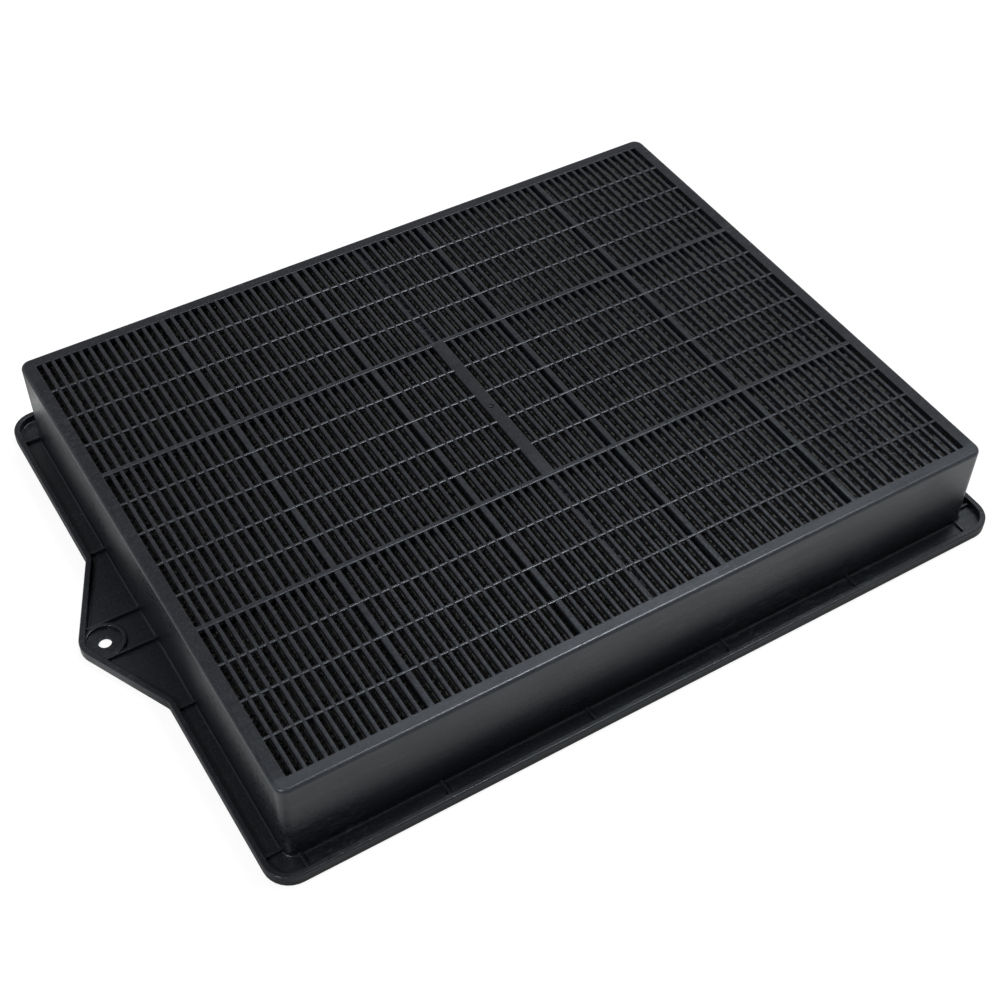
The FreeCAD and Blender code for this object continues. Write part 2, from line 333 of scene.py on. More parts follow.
# %% [markdown]
# ## Fixing hole, and the body closed
# A screw or peg of the hood goes through the hole in the tab. A boolean cut would do, but here
# the hole is one more stack of rings. The channel's floor and the flat underside then span all
# the open ends of box, flange and hole, so a single fill at each of the two heights closes the
# whole body without a cut.

# %% Fixing hole and body
HOLE_RADIUS, HOLE_EDGE = 3.25, 0.25
HOLE_X = -half_x - TAB_HOLE_REACH
hole_profile = [(HOLE_RADIUS + HOLE_EDGE + LEAD, FLANGE_FLOOR)]
hole_profile += [(HOLE_RADIUS + HOLE_EDGE * (1 - s), FLANGE_FLOOR - HOLE_EDGE * c)
                 for s, c in quarter(3)]
hole_profile += [(HOLE_RADIUS, 0.0)]
hole_rings = np.array([circle_ring(HOLE_X, 0.0, radius, z) for radius, z in hole_profile])
body = filled_shell([
    (box_rings, [wear for _, _, wear in box_profile]),
    (flange_rings, [wear for _, _, wear in flange_profile]),
    (hole_rings, [0.0] * len(hole_profile)),
], levels=(FLANGE_FLOOR, 0.0))
print("body:", len(body[0]), "points and", sum(len(group) for group in body[1]), "faces")

# %% [markdown]
# ## Where the slots are
# The face is a field of slots inside the rim: five columns between wide slats, and three bands
# between thick cross bars, each divided evenly. The number of slots differs from column to
# column on the real part, so a plain array modifier would not fit. The places are laid end to
# end instead, as (low, high) spans with a gap after each.


# %% Columns, slots, bands and rows
def spans(start, lengths, gaps):
    """(low, high) of each length laid end to end from start, with a gap after each."""
    steps = np.array(lengths) + np.append(gaps, 0.0)
    lows = start + np.concatenate([[0.0], np.cumsum(steps)[:-1]])
    return list(zip(lows.tolist(), (lows + np.array(lengths)).tolist()))


def between(pieces):
    """The middle of the gap between each span and the next."""
    return [(one[1] + other[0]) / 2 for one, other in zip(pieces, pieces[1:])]


def divided(low, high, count, gap):
    """A span divided into so many equal spans with a gap between each two."""
    length = (high - low - (count - 1) * gap) / count
    return spans(low, [length] * count, [gap] * (count - 1))


SLOTS_IN_COLUMN, ROWS_IN_BAND = (14, 15, 15, 15, 14), (4, 5, 4)
OUTER_COLUMN, SLAT_WIDTH, WIDE_SLAT = 67.05, 2.0, 3.2
BAR_WIDTH, THICK_BAR, THICK_BAR_REACH = 1.2, 2.8, 53.9
thick_lines = (-THICK_BAR_REACH, THICK_BAR_REACH)
field_x, field_y = box_x - RIM, box_y - RIM
wide_slats = len(SLOTS_IN_COLUMN) - 1
inner_length = (2 * field_x - 2 * OUTER_COLUMN - wide_slats * WIDE_SLAT) / (wide_slats - 1)
column_lengths = [OUTER_COLUMN] + [inner_length] * (wide_slats - 1) + [OUTER_COLUMN]
column_spans = spans(-field_x, column_lengths, [WIDE_SLAT] * wide_slats)
column_lines = between(column_spans)
slot_spans = [divided(low, high, count, SLAT_WIDTH)
              for (low, high), count in zip(column_spans, SLOTS_IN_COLUMN)]
band_spans = [(-field_y, -THICK_BAR_REACH - THICK_BAR / 2),
              (-THICK_BAR_REACH + THICK_BAR / 2, THICK_BAR_REACH - THICK_BAR / 2),
              (THICK_BAR_REACH + THICK_BAR / 2, field_y)]
slat_lines = [line for column in slot_spans for line in between(column)]
bar_lines = [line for (low, high), count in zip(band_spans, ROWS_IN_BAND)
             for line in between(divided(low, high, count, BAR_WIDTH))]
print(len(slat_lines), "slats,", len(column_lines), "wide slats and", len(bar_lines), "thin bars")

# %% [markdown]
# ## Slats and cross bars
# Slats run front to back and cross bars lie over them. In the photo each slat catches the light
# a little differently, because a thin moulded slat is never quite straight, and the thin bars
# show a bright line because their tops are crowned. Straight copies would look drawn with a
# ruler. So every slat gets its own small lift and lean, and a thin bar's top is one shallow
# arc. They are prisms over an outline: a few dozen faces each, in place of a modelled grille.


# %% Outlines of slats and bars
def bar_outline(middle, width, top, bottom, edge, steps=4):
    """A rectangle of (across, z) points with two quarter circles for its top corners, and the
    wear of each point, which grows from the sides to the top."""
    half = width / 2
    angles = np.linspace(0, math.pi / 2, steps + 1)
    right = np.column_stack([half - edge + edge * np.cos(angles),
                             top - edge + edge * np.sin(angles)])
    left = right[::-1] * np.array([-1.0, 1.0])
    points = np.concatenate([[[-half, bottom], [half, bottom]], right, left])
    worn = np.concatenate([[0.0, 0.0], np.linspace(0.2, 1.0, steps + 1),
                           np.linspace(1.0, 0.2, steps + 1)])
    return points + np.array([middle, 0.0]), worn


def crowned_outline(middle, width, top, bottom, crown, steps=8):
    """An outline whose top is one arc, lower by the crown at its edges than in the middle. Its
    radius is (half width squared + crown squared) / (2 crown)."""
    half = width / 2
    radius = (half ** 2 + crown ** 2) / (2 * crown)
    angles = np.linspace(1, -1, steps + 1) * math.asin(half / radius)
    arc = np.column_stack([radius * np.sin(angles), top - radius * (1 - np.cos(angles))])
    points = np.concatenate([[[-half, bottom], [half, bottom]], arc])
    return points + np.array([middle, 0.0]), np.append([0.0, 0.0], np.ones(steps + 1))


def leaning(points, middle, top, degrees):
    """The outline turned by a small angle about the middle of its top."""
    angle, pivot = math.radians(degrees), np.array([middle, top])
    turn = np.array([[math.cos(angle), math.sin(angle)], [-math.sin(angle), math.cos(angle)]])
    return pivot + (points - pivot) @ turn


print("a slat's outline has", len(bar_outline(0, 2, 1, 0, 0.5)[0]), "points")

# %% Slats and wide slats
SLAT_TOP = HEIGHT - 0.2
SLAT_EDGE, SLAT_LIFT, SLAT_LEAN = 0.5, 0.05, 0.9
OVERLAP = 0.8
slat_end, bar_end = field_y + OVERLAP, field_x + OVERLAP
grille = []
for middle in slat_lines:
    top = SLAT_TOP + rng.uniform(-SLAT_LIFT, SLAT_LIFT)
    outline, worn = bar_outline(middle, SLAT_WIDTH, top, GRILLE_UNDERSIDE, SLAT_EDGE)
    outline = leaning(outline, middle, top, rng.normal(0.0, SLAT_LEAN))
    grille.append(prism_shell(outline, worn, -slat_end, slat_end, 1))
for middle in column_lines:
    outline, worn = bar_outline(middle, WIDE_SLAT, SLAT_TOP, GRILLE_UNDERSIDE, SLAT_EDGE)
    grille.append(prism_shell(outline, worn, -slat_end, slat_end, 1))
print(len(grille), "slats, each", 2 * slat_end, "mm long")

# %% Thin and thick cross bars
THIN_TOP, THIN_BOTTOM, THIN_CROWN, THIN_SPREAD = HEIGHT - 0.05, HEIGHT - 1.1, 0.26, 0.3
THICK_TOP, THICK_BOTTOM = HEIGHT - 0.01, HEIGHT - 1.4
for middle in bar_lines:
    outline, worn = crowned_outline(middle, BAR_WIDTH + THIN_SPREAD, THIN_TOP, THIN_BOTTOM,
                                    THIN_CROWN)
    grille.append(prism_shell(outline, worn, -bar_end, bar_end, 0))
for middle in thick_lines:
    outline, worn = bar_outline(middle, THICK_BAR, THICK_TOP, THICK_BOTTOM, SLAT_EDGE)
    grille.append(prism_shell(outline, worn, -bar_end, bar_end, 0))
print(len(grille), "slats and bars in all")

# %% [markdown]
# ## Pads at the crossings
# The bright line on a thin bar is broken at every slat in the photo: the plastic is a little
# proud and flat there, so it doesn't catch the light as the crowned bar does. A dashed texture
# would slide off the form from other sides. A small flat-topped pad at each crossing makes the
# break by shape. All pads are one array: the same few points, moved to every place at once.

# %% Pads where a thin bar crosses a slat
PAD_REACH_X, PAD_REACH_Y, PAD_HEIGHT, PAD_EDGE = 0.62, 0.84, 0.5, 0.09
PAD_TOP, PAD_WEAR = HEIGHT - 0.012, 0.3


def pad_field(xs, ys, segments=16):
    """Flat-topped pads at every crossing, as one set of closed shells.

    A pad's outline is a fourth-power ellipse: its point at angle a lies at
    (reach_x sign(cos a) |cos a|^1/2, reach_y sign(sin a) |sin a|^1/2). It goes straight up and
    is drawn in by a small edge at the top.
    """
    around = np.linspace(0, 2 * math.pi, segments, endpoint=False) + math.pi / segments
    square_x = np.sign(np.cos(around)) * np.sqrt(np.abs(np.cos(around)))
    square_y = np.sign(np.sin(around)) * np.sqrt(np.abs(np.sin(around)))
    pad = np.array([np.column_stack([(PAD_REACH_X - inset) * square_x,
                                     (PAD_REACH_Y - inset) * square_y, np.full(segments, z)])
                    for inset, z in ((0.0, -PAD_HEIGHT), (0.0, -PAD_EDGE), (PAD_EDGE, 0.0))])
    ends = np.array([np.arange(segments)[::-1], np.arange(2 * segments, 3 * segments)])
    grid_x, grid_y = np.meshgrid(xs, ys)
    places = np.column_stack([grid_x.ravel(), grid_y.ravel(), np.full(grid_x.size, PAD_TOP)])
    points = (pad.reshape(-1, 3)[None] + places[:, None]).reshape(-1, 3)
    shift = (3 * segments * np.arange(len(places)))[:, None, None]
    groups = [(strips(pad) + shift).reshape(-1, 4), (ends + shift).reshape(-1, segments)]
    return points, groups, np.full(len(points), PAD_WEAR)


grille.append(pad_field(slat_lines, bar_lines))
print(len(slat_lines) * len(bar_lines), "pads with", len(grille[-1][0]), "points")

# %% [markdown]
# ## Centre bar with the gate mark
# The middle slot of the middle band is solid. The molten plastic entered the mould there, and
# the snapped-off feed left a shallow round dish with a nib in it. A bump texture would make a
# smudge of a mark this small, so the dish is carved: its rings go down from the bar's top, and
# the flat faces round it and on the nib are filled in between.

# %% Centre bar
middle_slot = [slot for column in slot_spans for slot in column if slot[0] < 0 < slot[1]][0]
bar_half_x = middle_slot[1] + SLAT_WIDTH
bar_half_y = band_spans[1][1] + THICK_BAR / 2
BAR_TOP, BAR_CORNER = HEIGHT - 0.005, 0.4
DISH, DISH_DEPTH, NIB, NIB_DROP = 1.7, 0.9, 0.6, 0.02
bar_steps = [(0.0, GRILLE_UNDERSIDE, 0.0), (0.0, BAR_TOP - SLAT_EDGE, 0.3)]
bar_steps += [(SLAT_EDGE * c, BAR_TOP - SLAT_EDGE * (1 - s), 0.6) for s, c in quarter(4)[1:]]
bar_rings = np.array([rectangle_ring(2 * (bar_half_x - inset), 2 * (bar_half_y - inset),
                                     BAR_CORNER, z, 3) for inset, z, _ in bar_steps])
dish_steps = [(DISH + LEAD, 0.0), (DISH, 0.0), (DISH - 0.12, 0.08),
              (DISH - 0.45, DISH_DEPTH * 0.8), (DISH - 0.8, DISH_DEPTH),
              (NIB + 0.1, DISH_DEPTH), (NIB, DISH_DEPTH - 0.1),
              (NIB - 0.03, 0.12), (NIB - 0.2, NIB_DROP)]
dish_rings = np.array([circle_ring(0.0, 0.0, radius, BAR_TOP - drop, 28)
                       for radius, drop in dish_steps])
dish_wear = [0.0] * (len(dish_steps) - 2) + [1.0, 1.0]
grille.append(filled_shell([(bar_rings, [wear for _, _, wear in bar_steps]),
                            (dish_rings, dish_wear)],
                           levels=(GRILLE_UNDERSIDE, BAR_TOP, BAR_TOP - NIB_DROP)))
print(f"centre bar {2 * bar_half_x:.1f} x {2 * bar_half_y:.1f} mm, gate mark {2 * DISH} mm wide")

# %% [markdown]
# ## Partitions
# Inner walls divide the box into 18 compartments, so that the granules can't all slide to one
# side when it hangs on edge. They stand under the wide slats, on the middle line and under the
# thick bars, and the ones that cross the slats stop a little below them. They could be one
# extruded grid, but plain prisms through each other give the same form with fewer faces.

# %% Partitions
PARTITION, PARTITION_EDGE, CROSS_PARTITION_TOP = 1.6, 0.15, 48.4
partition_lines = sorted(column_lines + [0.0])
partition_runs = [(middle, GRILLE_UNDERSIDE + 0.01, inside_y, 1) for middle in partition_lines]
partition_runs += [(middle, CROSS_PARTITION_TOP, inside_x, 0) for middle in thick_lines]
partitions = []
for middle, top, reach, axis in partition_runs:
    outline, worn = bar_outline(middle, PARTITION, top, COVER_TOP, PARTITION_EDGE, 2)
    partitions.append(prism_shell(outline, worn * 0, -reach - OVERLAP, reach + OVERLAP, axis))
print(len(partitions), "partitions make", (len(partition_lines) + 1) * 3, "compartments")

# %% [markdown]
# ## Flange ribs
# Low ribs stiffen the channel where a wide slat or a thick bar meets the wall and near each
# corner, and two more run out over the tab. They are the same rounded prism as a slat, turned
# across the channel. On the tab the outline is curved, so a rib's end is found by reading the
# lip's middle line at the rib's place.


# %% Ribs across the channel and over the tab
def rib(middle, start, end, axis):
    """A low rounded prism on the channel's floor, from start to end along the axis."""
    outline, worn = bar_outline(middle, RIB_WIDTH, FLANGE_FLOOR + RIB_HEIGHT, RIB_ROOT, RIB_EDGE)
    return prism_shell(outline, worn * RIB_WEAR, start, end, axis)


RIB_WIDTH, RIB_HEIGHT, RIB_ROOT, RIB_EDGE, RIB_WEAR = 1.5, 1.7, 1.0, 0.35, 0.6
END_RIB_INSET, TAB_RIB_OFFSET = 5.5, 10.6
wall_x, wall_y = box_x - WALL / 2, box_y - WALL / 2
lip_x, lip_y = half_x - LIP_WIDTH / 2, half_y - LIP_WIDTH / 2
ribs = []
for x in column_lines + [-box_x + END_RIB_INSET, box_x - END_RIB_INSET]:
    ribs += [rib(x, wall_y, lip_y, 1), rib(x, -lip_y, -wall_y, 1)]
for y in thick_lines + (-box_y + END_RIB_INSET, box_y - END_RIB_INSET):
    ribs += [rib(y, wall_x, lip_x, 0), rib(y, -lip_x, -wall_x, 0)]
lip_middle = outline_ring(flange_arcs, LIP_WIDTH / 2, 0.0)
on_tab = (lip_middle[:, 0] < -half_x + LIP_WIDTH) & (np.abs(lip_middle[:, 1]) < TAB_HALF_BASE)
for y in (-TAB_RIB_OFFSET, TAB_RIB_OFFSET):
    side = lip_middle[on_tab & (lip_middle[:, 1] * y >= 0)]
    side = side[np.argsort(np.abs(side[:, 1]))]
    reach = np.interp(abs(y), np.abs(side[:, 1]), side[:, 0])
    ribs.append(rib(y, reach, -wall_x, 0))
print(len(ribs), "ribs, of which the tab's reach to", round(float(reach), 1), "mm")

# %% [markdown]
# ## Ring round the hole
# A raised ring takes the head of the screw and keeps it off the thin tab. It could be a torus
# primitive flattened by hand. A profile spun round the hole says its size outright: up the
# outer side, over two rounded edges, down the inner side, and back to the first ring so that
# it is closed.

# %% Ring round the hole
RING_INNER, RING_OUTER, RING_EDGE, RING_ROOT, RING_STEPS = 8.5, 10.5, 0.35, 1.0, 64
ring_top = FLANGE_FLOOR + RIB_HEIGHT
ring_profile = [(RING_OUTER, RING_ROOT, 0.0), (RING_OUTER, ring_top - RING_EDGE, 0.3)]
ring_profile += [(RING_OUTER - RING_EDGE * c, ring_top - RING_EDGE * (1 - s), 0.7)
                 for s, c in quarter(4)[1:]]
ring_profile += [(RING_INNER + RING_EDGE * (1 - s), ring_top - RING_EDGE * c, 0.7)
                 for s, c in quarter(4)]
ring_profile += [(RING_INNER, RING_ROOT, 0.0), (RING_OUTER, RING_ROOT, 0.0)]
ring_rings = np.array([circle_ring(HOLE_X, 0.0, radius, z, RING_STEPS)
                       for radius, z, _ in ring_profile])
ring = (ring_rings.reshape(-1, 3), [strips(ring_rings)],
        np.repeat([wear for _, _, wear in ring_profile], RING_STEPS))
print("ring:", 2 * RING_OUTER, "mm wide and", RIB_HEIGHT, "mm high")

# %% [markdown]
# ## Snap lugs
# The cover below is pressed in past small wedges on the walls, which then hold it. They can
# only be seen from underneath, so each is the plainest thing that does the job: a prism whose
# outline slopes from the wall out to its reach.


# %% Lugs on the four walls
def lug(side, wall_face, middle, axis):
    """A wedge on one wall, growing from the open edge up to just under the cover."""
    root, top = side * (wall_face + LUG_ROOT), COVER_RECESS - LUG_PLAY
    wedge = np.array([[root, 0.0], [side * wall_face, 0.0],
                      [side * (wall_face - LUG_REACH), top], [root, top]])
    return prism_shell(wedge, np.zeros(4), middle - LUG_LENGTH / 2, middle + LUG_LENGTH / 2, axis)


COVER_RECESS, LUG_PLAY = 1.0, 0.02
LUG_LENGTH, LUG_REACH, LUG_ROOT = 12.0, 0.9, 0.5
lugs = []
for side in (-1, 1):
    lugs += [lug(side, inside_y, x, 0) for x in column_lines]
    lugs += [lug(side, inside_x, y, 1) for y in thick_lines]
print(len(lugs), "lugs hold the cover")

# %% [markdown]
# ## Node helpers
# Every finish below is a few noises, stretched or narrowed to the range that a surface needs,
# and added up. Placing the nodes by hand in the editor gives the same thing, but it can't be
# read or repeated. Each helper adds one node, links it and hands back its output.


# %% One node at a time
def new_material(name):
    """A node material, its tree and its Principled shader."""
    material = bpy.data.materials.new(name)
    material.use_nodes = True
    tree = material.node_tree
    return material, tree, tree.nodes["Principled BSDF"]


def feed(tree, socket, value):
    """Link an output into the socket, or set the socket's own value."""
    if isinstance(value, bpy.types.NodeSocket):
        tree.links.new(value, socket)
    else:
        socket.default_value = value


def noise(tree, source, scale, detail, roughness, stretch=(1.0, 1.0, 1.0)):
    """Noise between 0 and 1, mostly near 0.5. A small stretch value draws it out on that axis."""
    mapping = tree.nodes.new("ShaderNodeMapping")
    mapping.inputs["Scale"].default_value = stretch
    texture = tree.nodes.new("ShaderNodeTexNoise")
    texture.inputs["Scale"].default_value = scale
    texture.inputs["Detail"].default_value = detail
    texture.inputs["Roughness"].default_value = roughness
    tree.links.new(source, mapping.inputs["Vector"])
    tree.links.new(mapping.outputs["Vector"], texture.inputs["Vector"])
    return texture.outputs["Fac"]


def remap(tree, value, low, high, to_low, to_high):
    """The value moved in a straight line from one range to another, and held inside it."""
    node = tree.nodes.new("ShaderNodeMapRange")
    node.inputs["From Min"].default_value = low
    node.inputs["From Max"].default_value = high
    node.inputs["To Min"].default_value = to_low
    node.inputs["To Max"].default_value = to_high
    tree.links.new(value, node.inputs["Value"])
    return node.outputs["Result"]


def combine(tree, operation, first, second):
    """Sum, product or another operation on two outputs or numbers."""
    node = tree.nodes.new("ShaderNodeMath")
    node.operation = operation
    feed(tree, node.inputs[0], first)
    feed(tree, node.inputs[1], second)
    return node.outputs["Value"]


def blend_colours(tree, factor, first, second):
    """The first colour where the factor is 0, the second where it is 1."""
    node = tree.nodes.new("ShaderNodeMix")
    node.data_type = "RGBA"
    feed(tree, node.inputs[0], factor)
    feed(tree, node.inputs[6], first)
    feed(tree, node.inputs[7], second)
    return node.outputs[2]


def split(tree, vector):
    """The three parts of a vector."""
    node = tree.nodes.new("ShaderNodeSeparateXYZ")
    tree.links.new(vector, node.inputs["Vector"])
    return node.outputs


def bumps(tree, shader, height, strength, depth):
    """Let a height pattern tilt the shader's normal, up to a depth in metres."""
    bump = tree.nodes.new("ShaderNodeBump")
    bump.inputs["Strength"].default_value = strength
    bump.inputs["Distance"].default_value = depth
    tree.links.new(height, bump.inputs["Height"])
    tree.links.new(bump.outputs["Normal"], shader.inputs["Normal"])


NOISE_LOW, NOISE_HIGH = 0.3, 0.7
print("most noise values lie between", NOISE_LOW, "and", NOISE_HIGH)

# %% [markdown]
# ## Black plastic
# The moulding is black polypropylene with a semi-matt skin. What makes it real in the photo is
# not its colour but how uneven it is: smudges and flow streaks change the gloss, and fine
# scratches, specks and patches of scuffs catch the light as grey. A painted image would blur
# up close and has no place on 944 openings. So each of these is a noise on object coordinates,
# in metres, and they add up to one amount of dust that blends black into grey. Each keeps only
# the peaks of its noise, so a scratch or speck has clean black beside it.


# %% Gloss of the plastic
SMUDGE_SCALE, STREAK_SCALE, STREAK_STRETCH = 22.0, 60.0, (0.35, 6.0, 6.0)
GLOSSIEST, DULLEST = 0.25, 0.34
STREAK_GLOSSIER, STREAK_DULLER = -0.03, 0.05


def plastic_gloss(tree, place, smudges):
    """Roughness: set by the smudges, and a little up or down by streaks along X."""
    streaks = noise(tree, place, STREAK_SCALE, detail=4.0, roughness=0.6, stretch=STREAK_STRETCH)
    return combine(tree, "ADD",
                   remap(tree, smudges, NOISE_LOW, NOISE_HIGH, GLOSSIEST, DULLEST),
                   remap(tree, streaks, NOISE_LOW, NOISE_HIGH, STREAK_GLOSSIER, STREAK_DULLER))


print("smudges are about", round(1000 / SMUDGE_SCALE), "mm apart")

# %% Dust of the plastic
SCRATCH_SCALE, SCRATCH_STRETCH, SCRATCH_DUST = 90.0, (0.3, 9.0, 9.0), 0.35
SPECK_SCALE, SPECK_DUST = 900.0, 0.34
PATCH_SCALE = 17.0
SCUFF_SCALE, SCUFF_STRETCH, SCUFF_DUST = 260.0, (0.6, 1.6, 1.6), 0.8


def plastic_dust(tree, place):
    """Scratches along X, plus specks, plus scuffs where a broad noise lets them show."""
    scratches = noise(tree, place, SCRATCH_SCALE, detail=5.0, roughness=0.65,
                      stretch=SCRATCH_STRETCH)
    scratches = remap(tree, scratches, 0.60, 0.74, 0.0, SCRATCH_DUST)
    specks = noise(tree, place, SPECK_SCALE, detail=3.0, roughness=0.7)
    specks = remap(tree, specks, 0.50, 0.72, 0.0, SPECK_DUST)
    patches = noise(tree, place, PATCH_SCALE, detail=2.0, roughness=0.5)
    patches = remap(tree, patches, 0.54, 0.66, 0.0, 1.0)
    scuffs = noise(tree, place, SCUFF_SCALE, detail=5.0, roughness=0.75, stretch=SCUFF_STRETCH)
    scuffs = remap(tree, scuffs, 0.52, 0.74, 0.0, SCUFF_DUST)
    return combine(tree, "ADD", combine(tree, "ADD", scratches, specks),
                   combine(tree, "MULTIPLY", patches, scuffs))


print("specks are about", round(1000 / SPECK_SCALE, 1), "mm apart")

# %% [markdown]
# ## Rubbed edges
# Edges that stand out are rubbed most in use. They are paler and a little smoother, and the
# front of the face's rim is made paler too. A curvature trick in the shader would also mark
# every inner corner. The shells already know which points lie on an outer edge, so the material
# reads that from the attribute "worn" and breaks it up with a noise.

# %% Wear of the plastic, and a paler front rim
BREAK_SCALE, LEAST_RUBBED, RUBBED_DUST, RUBBED_GLOSS = 420.0, 0.25, 0.30, 0.03
FRONT_RIM_START, FRONT_RIM_FULL = -0.1405, -0.1425
RIM_TOP_START, RIM_TOP_FULL = 0.0500, 0.0518
GREYED_LEAST, GREYED_MOST = 0.22, 0.40


def add_wear(tree, place, smudges, dust, rough):
    """Dust is at least the broken wear. The front rim is paler, and worn edges are smoother."""
    worn = tree.nodes.new("ShaderNodeAttribute")
    worn.attribute_name = "worn"
    broken = noise(tree, place, BREAK_SCALE, detail=4.0, roughness=0.6)
    broken = remap(tree, broken, 0.35, 0.65, LEAST_RUBBED, 1.0)
    rubbed = combine(tree, "MULTIPLY", worn.outputs["Fac"], broken)
    dust = combine(tree, "MAXIMUM", dust, combine(tree, "MULTIPLY", rubbed, RUBBED_DUST))
    # The front of the rim's top is blended toward grey.
    parts = split(tree, place)
    front = combine(tree, "MULTIPLY",
                    remap(tree, parts["Y"], FRONT_RIM_START, FRONT_RIM_FULL, 0.0, 1.0),
                    remap(tree, parts["Z"], RIM_TOP_START, RIM_TOP_FULL, 0.0, 1.0))
    greyed = remap(tree, smudges, NOISE_LOW, NOISE_HIGH, GREYED_LEAST, GREYED_MOST)
    dust = combine(tree, "ADD", dust, combine(tree, "MULTIPLY", front, greyed))
    rough = combine(tree, "SUBTRACT", rough,
                    combine(tree, "MULTIPLY", worn.outputs["Fac"], RUBBED_GLOSS))
    return dust, rough


print(f"the front rim is handled from y = {FRONT_RIM_START} m on, above z = {RIM_TOP_START} m")

# %% The two black plastics
DEEP_BLACK, DUSTY_GREY = (0.0064, 0.0071, 0.0098, 1.0), (0.058, 0.063, 0.074, 1.0)
COOL_SHEEN = (0.86, 0.93, 1.0, 1.0)
PLASTIC_IOR = 1.43
GRAIN_SCALE, GRAIN_STRENGTH, GRAIN_DEPTH = 2600.0, 0.30, 0.00016


def black_plastic(name, has_wear):
    """Black that turns grey with dust, slightly cool gloss and a fine grain."""
    material, tree, shader = new_material(name)
    place = tree.nodes.new("ShaderNodeTexCoord").outputs["Object"]
    smudges = noise(tree, place, SMUDGE_SCALE, detail=4.0, roughness=0.6)
    rough = plastic_gloss(tree, place, smudges)
    dust = plastic_dust(tree, place)
    if has_wear:
        dust, rough = add_wear(tree, place, smudges, dust, rough)
    colour = blend_colours(tree, dust, DEEP_BLACK, DUSTY_GREY)
    tree.links.new(colour, shader.inputs["Base Color"])
    tree.links.new(rough, shader.inputs["Roughness"])
    shader.inputs["IOR"].default_value = PLASTIC_IOR
    shader.inputs["Specular Tint"].default_value = COOL_SHEEN
    grain = noise(tree, place, GRAIN_SCALE, detail=2.0, roughness=0.5)
    bumps(tree, shader, grain, GRAIN_STRENGTH, GRAIN_DEPTH)
    return material


housing_plastic = black_plastic("black_moulded_plastic", True)
cover_plastic = black_plastic("black_cover_plastic", False)
print("the moulding's plastic has", len(housing_plastic.node_tree.nodes), "nodes")

# %% [markdown]
# ## Carbon
# Activated carbon is dull and nearly black, and one granule is a little paler than the next. A
# separate material for each shade would be a lot of slots. Every point of a granule carries
# its shade in the attribute "tone" instead, and pits in the surface make it rough.

# %% Carbon granules
DARK_CARBON, PALE_CARBON = (0.006, 0.0056, 0.0053, 1.0), (0.031, 0.0285, 0.026, 1.0)
PIT_SCALE, PIT_STRENGTH, PIT_DEPTH = 1400.0, 0.5, 0.0003
CARBON_SMOOTHEST, CARBON_DULLEST = 0.5, 0.8
granules, tree, shader = new_material("carbon_granules")
place = tree.nodes.new("ShaderNodeTexCoord").outputs["Object"]
tone = tree.nodes.new("ShaderNodeAttribute")
tone.attribute_name = "tone"
# The tone also holds painted light: granules in a wide slat's shadow are made paler.
colour = blend_colours(tree, tone.outputs["Fac"], DARK_CARBON, PALE_CARBON)
tree.links.new(colour, shader.inputs["Base Color"])
pits = noise(tree, place, PIT_SCALE, detail=3.0, roughness=0.6)
rough = remap(tree, pits, NOISE_LOW, NOISE_HIGH, CARBON_SMOOTHEST, CARBON_DULLEST)
tree.links.new(rough, shader.inputs["Roughness"])
bumps(tree, shader, pits, PIT_STRENGTH, PIT_DEPTH)
print("granules go from", DARK_CARBON[:3], "to", PALE_CARBON[:3])

# %% [markdown]
# ## The moulding
# The real moulding is one piece of plastic, so all its shells become one object, which stands
# for the CAD housing and hides it. It is shaded smooth, so that the roundings look round with
# few faces, and every edge sharper than 32 degrees stays crisp.

# %% Make the housing
CRISP_FROM = 32.0
points, polygons, worn = join([body] + grille + partitions + ribs + [ring] + lugs)
housing = mesh_object("filter_housing", points, polygons, "worn", worn, housing_plastic)
housing.data.polygons.foreach_set("use_smooth", np.ones(len(polygons), dtype=bool))
housing.data.set_sharp_from_angle(angle=math.radians(CRISP_FROM))
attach(housing, "root")
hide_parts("housing")
print("housing:", len(points), "points and", len(polygons), "faces")

# %% [markdown]
# ## Back cover
# The slotted cover on the underside is flat and plain, and the solid from the CAD model already
# has its whole form. It is kept as it is and only gets the plastic without rubbed edges.

# %% Give the cover its plastic
cover = frame["nodes"]["back_cover"]
cover.data.materials.clear()
cover.data.materials.append(cover_plastic)
print("cover:", len(cover.data.polygons), "faces from the CAD model")

# %% [markdown]
# ## Granules
# Through the slots one sees loose crushed carbon, a few millimetres a grain. A bump texture
# would stay flat when looked at from the side, and dropping real grains with physics would
# give another result each run. So a layer of pebbles is laid on a shaken grid at the top and
# the bottom of each compartment, where the slots show them, over a plain core. A pebble is a
# ball of twenty triangles, dented, stretched and turned at random.

# %% The twenty-sided pebble
golden = (1 + math.sqrt(5)) / 2
pebble_points = np.array([(-1, golden, 0), (1, golden, 0), (-1, -golden, 0), (1, -golden, 0),
                          (0, -1, golden), (0, 1, golden), (0, -1, -golden), (0, 1, -golden),
                          (golden, 0, -1), (golden, 0, 1), (-golden, 0, -1), (-golden, 0, 1)])
pebble_points = pebble_points / math.hypot(1, golden)
pebble_faces = np.array([(0, 11, 5), (0, 5, 1), (0, 1, 7), (0, 7, 10), (0, 10, 11),
                         (1, 5, 9), (5, 11, 4), (11, 10, 2), (10, 7, 6), (7, 1, 8),
                         (3, 9, 4), (3, 4, 2), (3, 2, 6), (3, 6, 8), (3, 8, 9),
                         (4, 9, 5), (2, 4, 11), (6, 2, 10), (8, 6, 7), (9, 8, 1)])
corner_count = len(pebble_points)
print("a pebble has", corner_count, "points and", len(pebble_faces), "faces")


